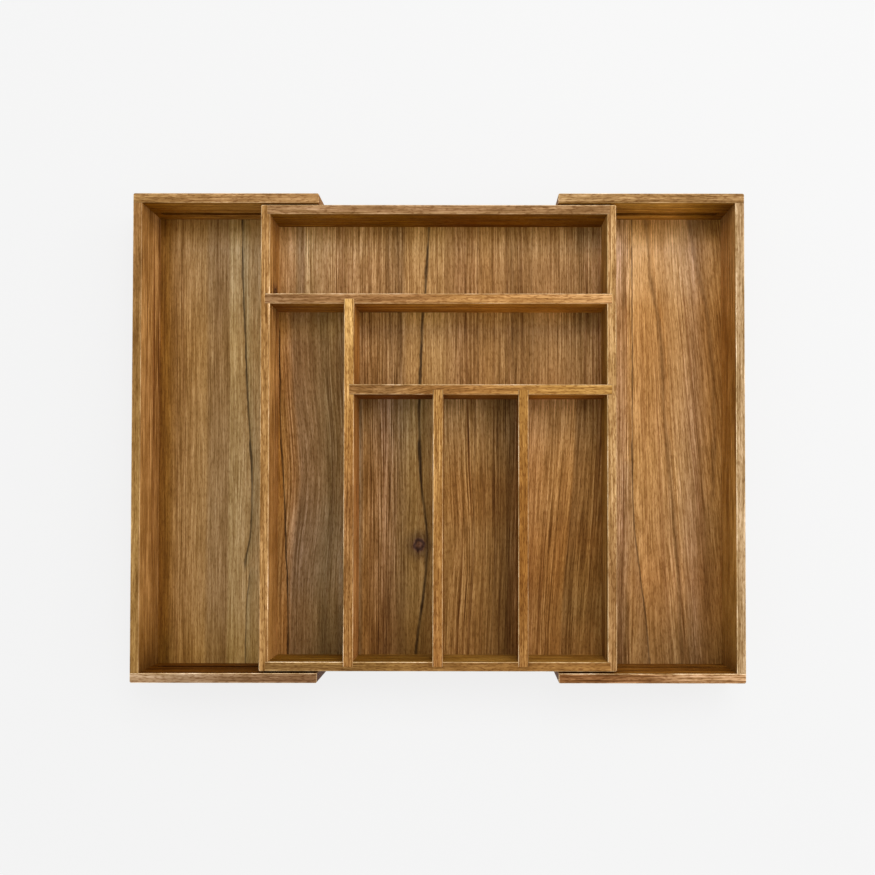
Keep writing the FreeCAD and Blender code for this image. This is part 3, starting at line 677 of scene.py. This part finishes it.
centreFloor = dict(
    veneered, seed=7.9, wander=0.003, bandWidth=0.012, lineWidth=0.0034, bandSwing=0.12, lineStrength=0.6,
    hairStrength=0.5, fibreStrength=0.3, poreStrength=0.45,
    bows=[(-0.118, -0.035, 0.035, 0.075, 0.01, 0.0), (0.02, -0.095, 0.03, 0.07, 0.005, 0.0),
          (0.115, -0.22, 0.05, 0.16, -0.016, 0.0), (-0.0192, -0.0975, 0.009, 0.022, 0.0, 0.005)],
    # the zones darken towards the right-hand walls of the second and third front bays: painted shade
    zones=[(-0.153, (0.35, 0.17, 0.041)), (-0.143, (0.35, 0.18, 0.063)), (-0.138, (0.25, 0.14, 0.059)),
           (-0.125, (0.25, 0.14, 0.055)), (-0.109, (0.23, 0.14, 0.053)), (-0.097, (0.33, 0.2, 0.076)),
           (-0.08, (0.29, 0.2, 0.105)), (-0.072, (0.29, 0.14, 0.037)), (-0.05, (0.285, 0.147, 0.056)),
           (-0.036, (0.245, 0.135, 0.044)), (-0.022, (0.35, 0.2, 0.061)), (-0.003, (0.52, 0.29, 0.091)),
           (0.01, (0.36, 0.18, 0.052)), (0.035, (0.34, 0.17, 0.047)), (0.066, (0.185, 0.087, 0.021)),
           (0.082, (0.48, 0.23, 0.072)), (0.105, (0.41, 0.2, 0.058)), (0.125, (0.39, 0.18, 0.045)),
           (0.128, (0.24, 0.11, 0.028)), (0.153, (0.4, 0.2, 0.053))],
    shown=[(-0.15, 0.9), (-0.135, 0.5), (-0.085, 0.5), (-0.075, 1.1), (-0.035, 1.0), (-0.025, 0.45),
           (-0.005, 0.45), (0.01, 1.0), (0.07, 1.1), (0.09, 1.0), (0.15, 1.1)],
    rearFrom=0.0423, leftBayTo=-0.0795, backBayFrom=0.1233,
    rearZones=[(-0.153, (0.39, 0.2, 0.061)), (-0.136, (0.39, 0.22, 0.087)), (-0.133, (0.35, 0.22, 0.095)),
               (-0.128, (0.21, 0.11, 0.04)), (-0.125, (0.43, 0.27, 0.11)), (-0.095, (0.38, 0.21, 0.079)),
               (-0.06, (0.36, 0.19, 0.063)), (-0.036, (0.28, 0.15, 0.052)), (-0.03, (0.39, 0.21, 0.067)),
               (0.0, (0.43, 0.24, 0.081)), (0.018, (0.3, 0.15, 0.049)), (0.044, (0.37, 0.19, 0.058)),
               (0.068, (0.29, 0.15, 0.047)), (0.104, (0.38, 0.2, 0.067)), (0.13, (0.37, 0.2, 0.068)),
               (0.153, (0.53, 0.29, 0.106))],
    rearShown=[(-0.15, 0.9), (-0.08, 0.9), (-0.04, 1.4), (-0.028, 0.4), (-0.01, 0.4), (0.02, 0.8),
               (0.07, 1.0), (0.11, 0.9), (0.15, 0.7)],
    lengthwise=[(-0.2, (0.85, 0.82, 0.74)), (-0.1, (0.96, 0.95, 0.93)), (0.03, (1.02, 1.0, 0.95)),
                (0.05, (0.95, 0.92, 0.87)), (0.09, (0.94, 0.94, 0.95)), (0.13, (1.0, 0.99, 0.99)),
                (0.16, (1.03, 1.03, 1.1)), (0.18, (1.24, 1.31, 1.45)), (0.2, (1.35, 1.3, 0.95))],
    stretches=[(-0.0795, 0.2, 0.001, (0.008, 0.032), (0.0422, 0.0424), (1.45, 1.52, 1.55)),
               (-0.0795, 0.2, 0.001, (-0.04, 0.02), (0.0422, 0.0424), (1.0, 1.1, 1.35)),
               (-0.0795, 0.2, 0.001, (0.1, 0.118), (0.1232, 0.1234), (1.4, 1.42, 1.15)),
               (-0.2, -0.0795, 0.001, (0.085, 0.115), (0.1232, 0.1234), (1.4, 1.5, 1.35)),
               (-0.2, -0.0795, 0.001, (0.03, 0.1), (0.1232, 0.1234), (1.15, 1.1, 1.0)),
               (-0.2, -0.0795, 0.001, (-0.165, -0.125), (-0.09, -0.03), (0.98, 1.05, 1.25)),
               (-0.0795, -0.0002, 0.001, (-0.31, -0.3), (-0.18, -0.14), (0.9, 0.84, 0.72)),
               (-0.0002, 0.0756, 0.001, (-0.09, -0.065), (-0.045, -0.02), (0.94, 0.88, 0.79)),
               (0.0756, 0.2, 0.001, (-0.16, -0.125), (-0.1, -0.06), (0.9, 0.83, 0.7)),
               (0.124, 0.2, 0.01, (-0.19, -0.15), (-0.12, -0.09), (0.84, 0.86, 0.84)),
               (-0.112, -0.0795, 0.012, (-0.31, -0.3), (-0.17, -0.135), (0.74, 0.74, 0.72)),
               (0.125, 0.2, 0.015, (0.095, 0.115), (0.1232, 0.1234), (0.74, 0.76, 0.78)),
               (0.125, 0.2, 0.015, (0.165, 0.192), (0.3, 0.31), (0.74, 0.78, 0.85))],
    streaks=[{"path": [(-0.0225, -0.202), (-0.019, -0.172), (-0.0145, -0.139), (-0.0127, -0.117),
                       (-0.0118, -0.095), (-0.0137, -0.069), (-0.0175, -0.037), (-0.019, 0.003),
                       (-0.0193, 0.04), (-0.0186, 0.053), (-0.0159, 0.118), (-0.014, 0.137),
                       (-0.0104, 0.202)],
              "reach": (-0.3, 0.3), "width": 0.0022, "strength": 0.9, "colour": (0.02, 0.008, 0.002),
              "shadows": [{"wide": 0.014, "y": (-0.3, 0.0423), "tint": (0.74, 0.72, 0.66)},
                          {"wide": -0.004, "y": (0.0423, 0.3), "tint": (0.8, 0.78, 0.72)}]},
             {"path": [(-0.1403, -0.202), (-0.1411, -0.132), (-0.1426, -0.102), (-0.1436, -0.069),
                       (-0.1457, -0.028), (-0.1479, 0.003), (-0.1489, 0.051), (-0.1501, 0.107),
                       (-0.1515, 0.202)],
              "reach": (-0.3, 0.11), "width": 0.0013, "strength": 0.9, "colour": (0.02, 0.008, 0.002),
              "shadows": [{"wide": -0.012, "y": (-0.3, 0.12), "tint": (1.05, 0.95, 0.75)}]},
             *rearLines, *frontLines],
    knots=[{"at": (-0.0192, -0.0975, 0.0165), "radius": (0.0068, 0.0075, 1.0),
            "heart": (0.055, 0.026, 0.016), "rings": (0.17, 0.078, 0.042), "halo": (0.12, 0.062, 0.022)}])
veneerFloor("centre_floor_panel", centreFloor)

rightFloor = dict(
    veneered, seed=11.3, wander=0.005, slant=0.085, slantFrom=(0.168, 0.235), bandWidth=0.013,
    lineWidth=0.0036, bandSwing=0.09, lineStrength=0.5, hairStrength=0.34, fibreStrength=0.28,
    poreStrength=0.4,
    zones=[(0.1, (0.38, 0.21, 0.08)), (0.172, (0.41, 0.22, 0.091)), (0.18, (0.49, 0.26, 0.086)),
           (0.192, (0.47, 0.24, 0.075)), (0.208, (0.4, 0.2, 0.063)), (0.222, (0.49, 0.27, 0.101)),
           (0.238, (0.39, 0.21, 0.086)), (0.248, (0.33, 0.16, 0.048)), (0.266, (0.42, 0.2, 0.046))],
    shown=[(0.165, 1.3), (0.178, 1.3), (0.182, 0.45), (0.21, 0.55), (0.235, 0.9), (0.262, 1.2)],
    lengthwise=[(-0.19, (0.68, 0.66, 0.6)), (-0.13, (0.9, 0.83, 0.77)), (-0.08, (1.02, 1.03, 1.08)),
                (-0.02, (1.09, 1.11, 1.12)), (0.01, (1.05, 1.04, 1.05)), (0.05, (1.01, 0.98, 0.93)),
                (0.09, (1.0, 0.95, 0.86)), (0.125, (1.07, 1.04, 0.97)), (0.155, (1.31, 1.42, 1.68)),
                (0.18, (1.45, 1.64, 2.15)), (0.203, (1.45, 1.55, 1.4))],
    stretches=[(0.164, 0.178, 0.008, (-0.2, -0.16), (-0.12, -0.08), (0.82, 0.84, 0.82)),
               (0.247, 0.262, 0.006, (-0.17, -0.13), (-0.08, -0.04), (0.82, 0.83, 0.81)),
               (0.235, 0.28, 0.012, (0.18, 0.2), (0.3, 0.31), (0.72, 0.7, 0.64))],
    streaks=[{"path": [(0.1965, -0.212), (0.194, -0.177), (0.187, -0.12), (0.1812, -0.056),
                       (0.1808, 0.06), (0.1804, 0.212)],
              "reach": (-0.3, 0.3), "width": 0.0012, "strength": 0.8, "colour": (0.06, 0.026, 0.008),
              "shadows": [{"wide": -0.016, "y": (-0.3, -0.02), "tint": (0.82, 0.84, 0.95)}]},
             {"path": [(0.2282, -0.205), (0.2254, -0.149), (0.2204, -0.079), (0.2159, -0.02),
                       (0.2109, 0.038), (0.208, 0.095), (0.1987, 0.157), (0.1953, 0.197),
                       (0.1941, 0.209)],
              "reach": (-0.3, 0.3), "width": 0.0042, "strength": 0.6, "colour": (0.16, 0.07, 0.018),
              "shadows": [{"wide": 0.007, "y": (-0.3, 0.3), "tint": (1.16, 1.12, 1.05)}]},
             {"path": [(0.2563, -0.205), (0.2551, -0.102), (0.2563, -0.032), (0.2574, 0.015),
                       (0.2561, 0.062), (0.2516, 0.116), (0.2412, 0.166), (0.2359, 0.197),
                       (0.2343, 0.209)],
              "reach": (-0.06, 0.3), "width": 0.0036, "strength": 0.5, "colour": (0.16, 0.07, 0.018),
              "shadows": [{"wide": -0.01, "y": (-0.05, 0.3), "tint": (1.08, 1.08, 1.08)}]}])
veneerFloor("right_floor_panel", rightFloor)
print("floors veneered")

# top, face, outside: tones of the upper edge, the broad faces and the outer one; the face tone has the
# faces' light and shade painted into it
# alongTop: tints along the top; alongFace: painted light and shade along the broad faces;
# wearAndHighlight: how far its rounded edges are worn pale and given a painted highlight
# letIn: its ends sit in grooves; outward: the way its outer face looks
oiled = {
    "swing": 0.17, "wander": 0.004, "bandWidth": 0.009, "lineWidth": 0.003, "lineStrength": 0.42,
    "hairStrength": 0.32, "fibreStrength": 0.3, "cloudStrength": 0.22, "poreStrength": 0.6,
    "arris": (0.86, 0.62, 0.34), "wearAndHighlight": 0.65, "end": (0.7, 0.62, 0.5), "letIn": False,
    "groove": (0.42, 0.34, 0.24), "outside": (0.37, 0.185, 0.062), "outward": (0.0, 0.0, 0.0),
}

centreLeftWall = dict(
    oiled, grain="y", seed=3.3, heart=(0.05, 0.0, -0.04), outward=(-1.0, 0.0, 0.0), fibreStrength=0.4,
    poreStrength=0.55,
    top=(0.365, 0.186, 0.055), face=(0.5, 0.24, 0.06),
    alongFace=[(-0.19, (1.1, 1.1, 1.15)), (-0.1, (0.88, 0.83, 0.8)), (0.01, (0.74, 0.68, 0.64)),
               (0.06, (1.35, 1.4, 1.6)), (0.12, (1.0, 1.0, 1.0)), (0.19, (0.7, 0.64, 0.55))],
    knots=[{"at": (-0.1501, 0.1345, 0.033), "radius": (0.01, 0.0045, 0.006), "heart": (0.06, 0.02, 0.008),
            "rings": (0.2, 0.08, 0.03), "halo": (0.22, 0.09, 0.03)}])
oilBoard("centre_left_wall", centreLeftWall)

centreRightWall = dict(
    oiled, grain="y", seed=5.9, heart=(-0.06, 0.0, 0.02), outward=(1.0, 0.0, 0.0),
    top=(0.43, 0.24, 0.088), face=(0.46, 0.25, 0.06),
    alongTop=[(-0.2, (0.88, 0.83, 0.8)), (-0.12, (0.72, 0.65, 0.58)), (-0.06, (1.0, 1.0, 1.0)),
              (0.14, (1.12, 1.14, 1.14)), (0.2, (0.92, 0.9, 0.86))],
    alongFace=[(-0.19, (0.78, 0.75, 0.8)), (-0.08, (0.98, 0.95, 0.9)), (0.03, (0.75, 0.7, 0.5)),
               (0.13, (0.75, 0.7, 0.55)), (0.19, (0.98, 0.95, 0.9))])
oilBoard("centre_right_wall", centreRightWall)

centreBackWall = dict(
    oiled, grain="x", seed=8.1, heart=(0.03, 0.0, 0.07), letIn=True, outward=(0.0, 1.0, 0.0), wearAndHighlight=0.4,
    top=(0.3, 0.16, 0.063), face=(0.26, 0.1, 0.006),
    alongFace=[(-0.14, (0.9, 1.0, 1.15)), (-0.09, (1.15, 1.25, 1.5)), (-0.04, (0.9, 0.95, 0.75)),
               (0.02, (0.75, 0.65, 0.45)), (0.14, (0.9, 0.92, 0.92))])
oilBoard("centre_back_wall", centreBackWall)

centreFrontWall = dict(
    oiled, grain="x", seed=10.7, heart=(-0.03, 0.0, 0.06), letIn=True, outward=(0.0, -1.0, 0.0),
    top=(0.27, 0.13, 0.033), face=(0.25, 0.11, 0.01),
    alongTop=[(-0.14, (1.1, 1.25, 1.5)), (-0.05, (0.75, 0.74, 0.62)), (0.02, (1.05, 1.05, 1.05)),
              (0.14, (1.1, 1.05, 0.98))],
    alongFace=[(-0.14, (0.9, 0.93, 1.0)), (-0.08, (0.85, 0.85, 0.9)), (-0.03, (1.15, 1.3, 2.2)),
               (0.03, (1.5, 1.7, 3.0)), (0.14, (1.4, 1.5, 2.6))])
oilBoard("centre_front_wall", centreFrontWall)

longCrossDivider = dict(
    oiled, grain="x", seed=13.1, heart=(0.04, 0.0, -0.05), letIn=True,
    top=(0.38, 0.19, 0.062), face=(0.52, 0.226, 0.026),
    alongTop=[(-0.15, (0.62, 0.62, 0.68)), (-0.02, (0.85, 0.8, 0.74)), (0.02, (1.0, 0.96, 0.8)),
              (0.08, (1.24, 1.22, 1.15)), (0.15, (1.24, 1.28, 1.35))],
    alongFace=[(-0.146, (0.55, 0.5, 0.6)), (-0.1, (0.78, 0.78, 0.85)), (-0.07, (0.62, 0.55, 0.5)),
               (-0.03, (0.82, 0.78, 0.75)), (0.07, (1.03, 0.98, 0.95)), (0.146, (0.9, 0.88, 0.88))])
oilBoard("long_cross_divider", longCrossDivider)

lengthwiseDivider = dict(
    oiled, grain="y", seed=15.7, heart=(0.05, 0.0, 0.03), letIn=True,
    top=(0.36, 0.18, 0.05), face=(0.38, 0.16, 0.035),
    alongTop=[(-0.19, (1.05, 1.0, 0.98)), (-0.12, (0.72, 0.66, 0.62)), (-0.06, (0.74, 0.64, 0.58)),
              (0.0, (1.15, 1.1, 1.0)), (0.05, (1.5, 1.6, 1.7)), (0.12, (1.6, 1.8, 1.9))],
    alongFace=[(-0.19, (1.2, 1.22, 1.4)), (-0.05, (1.2, 1.2, 1.4)), (0.03, (1.0, 0.95, 0.85)),
               (0.12, (1.15, 1.15, 1.0))])
oilBoard("lengthwise_divider", lengthwiseDivider)

shortCrossDivider = dict(
    oiled, grain="x", seed=18.3, heart=(0.02, 0.0, -0.06), letIn=True,
    top=(0.38, 0.19, 0.053), face=(0.3, 0.115, 0.014),
    alongTop=[(-0.075, (0.8, 0.78, 0.85)), (-0.045, (0.62, 0.6, 0.65)), (-0.02, (0.8, 0.76, 0.74)),
              (0.02, (0.9, 0.82, 0.76)), (0.07, (1.08, 1.05, 0.95)), (0.11, (1.28, 1.32, 1.15)),
              (0.15, (1.28, 1.36, 1.3))],
    alongFace=[(-0.07, (0.95, 0.8, 0.75)), (-0.01, (0.65, 0.5, 0.35)), (0.02, (1.1, 1.05, 0.95)),
               (0.06, (0.95, 0.88, 0.85)), (0.09, (2.0, 2.1, 1.7)), (0.146, (0.95, 0.85, 0.9))],
    bows=[(-0.055, 0.042, 0.03, 0.05, 0.011, 0.0)])
oilBoard("short_cross_divider", shortCrossDivider)

leftShortDivider = dict(
    oiled, grain="y", seed=20.9, heart=(-0.05, 0.0, 0.04), letIn=True,
    top=(0.31, 0.15, 0.041), face=(0.3, 0.125, 0.024),
    alongTop=[(-0.19, (0.92, 0.8, 0.66)), (-0.1, (1.05, 1.0, 0.85)), (0.03, (1.25, 1.3, 1.25))])
oilBoard("left_short_divider", leftShortDivider)

rightShortDivider = dict(
    oiled, grain="y", seed=23.3, heart=(0.06, 0.0, 0.02), letIn=True,
    top=(0.32, 0.14, 0.03), face=(0.24, 0.095, 0.015),
    alongTop=[(-0.19, (1.0, 1.05, 1.2)), (-0.12, (1.0, 0.95, 0.8)), (-0.04, (0.98, 0.95, 0.82)),
              (0.02, (1.15, 1.25, 1.25))])
oilBoard("right_short_divider", rightShortDivider)

leftBackRail = dict(
    oiled, grain="x", seed=26.1, heart=(0.03, 0.0, 0.06), outward=(0.0, 1.0, 0.0), wearAndHighlight=0.4,
    fibreStrength=0.28,
    top=(0.395, 0.215, 0.08), face=(0.46, 0.215, 0.029),
    alongTop=[(-0.27, (0.95, 0.95, 0.85)), (-0.18, (1.0, 1.0, 1.0)), (-0.12, (1.15, 1.18, 1.25))],
    alongFace=[(-0.26, (0.6, 0.5, 0.2)), (-0.22, (0.9, 0.9, 1.0)), (-0.17, (1.0, 1.05, 1.4))])
oilBoard("left_back_rail", leftBackRail)

leftFrontRail = dict(
    oiled, grain="x", seed=28.7, heart=(-0.03, 0.0, 0.05), outward=(0.0, -1.0, 0.0),
    top=(0.34, 0.19, 0.09), face=(0.14, 0.046, 0.003),
    alongTop=[(-0.27, (1.22, 1.35, 1.4)), (-0.23, (1.1, 1.25, 1.4)), (-0.17, (0.9, 0.92, 0.95)),
              (-0.12, (0.7, 0.65, 0.6))])
oilBoard("left_front_rail", leftFrontRail)

leftSideWall = dict(
    oiled, grain="y", seed=31.1, heart=(0.05, 0.0, -0.03), outward=(-1.0, 0.0, 0.0), wearAndHighlight=0.4,
    poreStrength=0.35,
    top=(0.29, 0.15, 0.042), face=(0.54, 0.27, 0.072),
    alongTop=[(-0.2, (1.15, 1.2, 1.2)), (0.02, (1.12, 1.18, 1.2)), (0.13, (0.85, 0.8, 0.76)),
              (0.2, (1.0, 0.92, 0.95))],
    alongFace=[(-0.207, (0.34, 0.28, 0.18)), (-0.18, (0.6, 0.54, 0.42)), (-0.14, (0.86, 0.83, 0.82)),
               (0.05, (0.88, 0.84, 0.88)), (0.1, (1.05, 1.05, 1.15)), (0.2, (0.85, 0.82, 0.8))])
oilBoard("left_side_wall", leftSideWall)

rightBackRail = dict(
    oiled, grain="x", seed=33.9, heart=(0.02, 0.0, 0.06), outward=(0.0, 1.0, 0.0), wearAndHighlight=0.4,
    fibreStrength=0.28,
    top=(0.35, 0.19, 0.067), face=(0.58, 0.285, 0.033),
    alongTop=[(0.12, (1.03, 1.08, 1.15)), (0.2, (1.0, 1.0, 0.98)), (0.24, (0.8, 0.78, 0.72)),
              (0.27, (0.9, 0.9, 0.9))],
    alongFace=[(0.17, (0.78, 0.78, 0.9)), (0.215, (1.02, 1.02, 1.27)), (0.235, (0.7, 0.65, 0.5)),
               (0.258, (0.38, 0.32, 0.25))])
oilBoard("right_back_rail", rightBackRail)

rightFrontRail = dict(
    oiled, grain="x", seed=36.3, heart=(0.04, 0.0, 0.05), outward=(0.0, -1.0, 0.0), fibreStrength=0.5,
    top=(0.35, 0.17, 0.066), face=(0.22, 0.085, 0.009),
    alongTop=[(0.12, (0.72, 0.64, 0.52)), (0.15, (0.62, 0.54, 0.4)), (0.18, (0.9, 0.87, 0.8)),
              (0.22, (1.2, 1.35, 1.5)), (0.27, (1.2, 1.33, 1.4))])
oilBoard("right_front_rail", rightFrontRail)

rightSideWall = dict(
    oiled, grain="y", seed=39.1, heart=(-0.05, 0.0, 0.03), outward=(1.0, 0.0, 0.0), poreStrength=0.5,
    top=(0.41, 0.258, 0.121), face=(0.58, 0.3, 0.072),
    alongFace=[(-0.207, (0.5, 0.47, 0.4)), (-0.17, (0.82, 0.85, 0.8)), (0.1, (0.85, 0.78, 0.68)),
               (0.17, (0.97, 1.0, 1.25)), (0.19, (0.85, 0.86, 1.0)), (0.209, (0.55, 0.55, 0.6))])
oilBoard("right_side_wall", rightSideWall)

runnerStrip = dict(
    oiled, grain="x", heart=(0.02, 0.0, 0.03), wearAndHighlight=0.4, lineStrength=0.3,
    top=(0.42, 0.25, 0.11), face=(0.4, 0.23, 0.1))
for number, name in enumerate(("left_back_runner", "left_front_runner", "right_back_runner",
                               "right_front_runner")):
    oilBoard(name, dict(runnerStrip, seed=42.0 + 2.7 * number))
print("boards oiled")


brads = {
    "steel": (0.56, 0.54, 0.51), "dull": (0.36, 0.34, 0.31),
    "blotchNoise": (700.0, 2.0), "blotches": (0.35, 0.65),
    "markNoise": (2600.0, 3.0, 0.6), "markSquash": (1.0, 1.0, 6.0),
    "roughness": (0.3, 0.55),
    "bump": 0.2, "bumpDepth": 0.00005,
}


def steelBrads(name, values):
    # drawn steel with duller blotches
    steel = bpy.data.materials.new(name + "_steel")
    steel.use_nodes = True
    tree = steel.node_tree
    place = put(tree, "ShaderNodeTexCoord").outputs["Object"]
    drawn = vectorMaths(tree, "MULTIPLY", place, values["markSquash"])
    marks = noise(tree, drawn, *values["markNoise"])
    blotches = remap(tree, noise(tree, place, *values["blotchNoise"]), *values["blotches"])
    tone = blendColour(tree, blotches, solid(values["dull"]), solid(values["steel"]))
    bump = put(tree, "ShaderNodeBump", {"Height": marks, "Strength": values["bump"],
                                        "Distance": values["bumpDepth"]})
    shader = tree.nodes["Principled BSDF"]
    tree.links.new(tone, shader.inputs["Base Color"])
    tree.links.new(remap(tree, marks, 0.0, 1.0, *values["roughness"]), shader.inputs["Roughness"])
    tree.links.new(bump.outputs[0], shader.inputs["Normal"])
    shader.inputs["Metallic"].default_value = 1.0
    nodes[name].material_slots[0].material = steel


for name in ("centre_corner_brads", "divider_brads", "left_tray_brads", "right_tray_brads"):
    steelBrads(name, brads)
print("brads finished")

print("finished")
